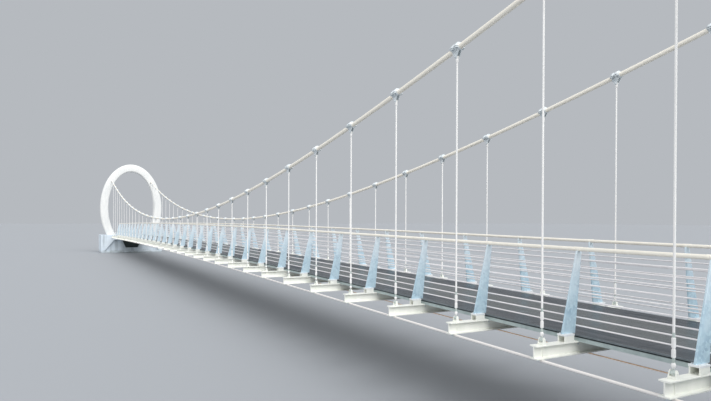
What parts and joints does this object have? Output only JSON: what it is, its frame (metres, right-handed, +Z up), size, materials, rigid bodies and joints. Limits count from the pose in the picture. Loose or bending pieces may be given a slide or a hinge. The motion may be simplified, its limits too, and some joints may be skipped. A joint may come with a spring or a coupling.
{
  "type": "suspension footbridge, 1:2 scale model",
  "caption": "Suspension footbridge with oval white ring pylons, cream main cables, white hangers, steel post-and-rail railings and a dark narrow deck, as a 1:2 scale model.",
  "frame": {"origin": "ground level below the middle of the span, at the centre of the bounding box", "axes": "X along the bridge, Y across it, Z up"},
  "size_m": [36.7, 3.24, 4.9323],
  "materials": {
    "white_paint": "satin",
    "concrete": "matte",
    "cable_wire": "satin",
    "cream_paint": "satin",
    "deck_boards": "matte",
    "galvanised_steel": "satin"
  },
  "bodies": {
    "root": {"ring_pylon_west": "white_paint", "abutment_west": "concrete", "ring_pylon_east": "white_paint", "abutment_east": "concrete", "main_cable_north": "cable_wire", "storm_cable_north": "cable_wire", "main_cable_south": "cable_wire", "storm_cable_south": "cable_wire", "deck_1": "deck_boards", "floor_frame_1": "cream_paint", "railing_north_1": "galvanised_steel", "railing_south_1": "galvanised_steel", "deck_2": "deck_boards", "floor_frame_2": "cream_paint", "railing_north_2": "galvanised_steel", "railing_south_2": "galvanised_steel", "deck_3": "deck_boards", "floor_frame_3": "cream_paint", "railing_north_3": "galvanised_steel", "railing_south_3": "galvanised_steel", "deck_4": "deck_boards", "floor_frame_4": "cream_paint", "railing_north_4": "galvanised_steel", "railing_south_4": "galvanised_steel", "deck_5": "deck_boards", "floor_frame_5": "cream_paint", "railing_north_5": "galvanised_steel", "railing_south_5": "galvanised_steel", "deck_6": "deck_boards", "floor_frame_6": "cream_paint", "railing_north_6": "galvanised_steel", "railing_south_6": "galvanised_steel", "deck_7": "deck_boards", "floor_frame_7": "cream_paint", "railing_north_7": "galvanised_steel", "railing_south_7": "galvanised_steel"}
  },
  "joints": []
}
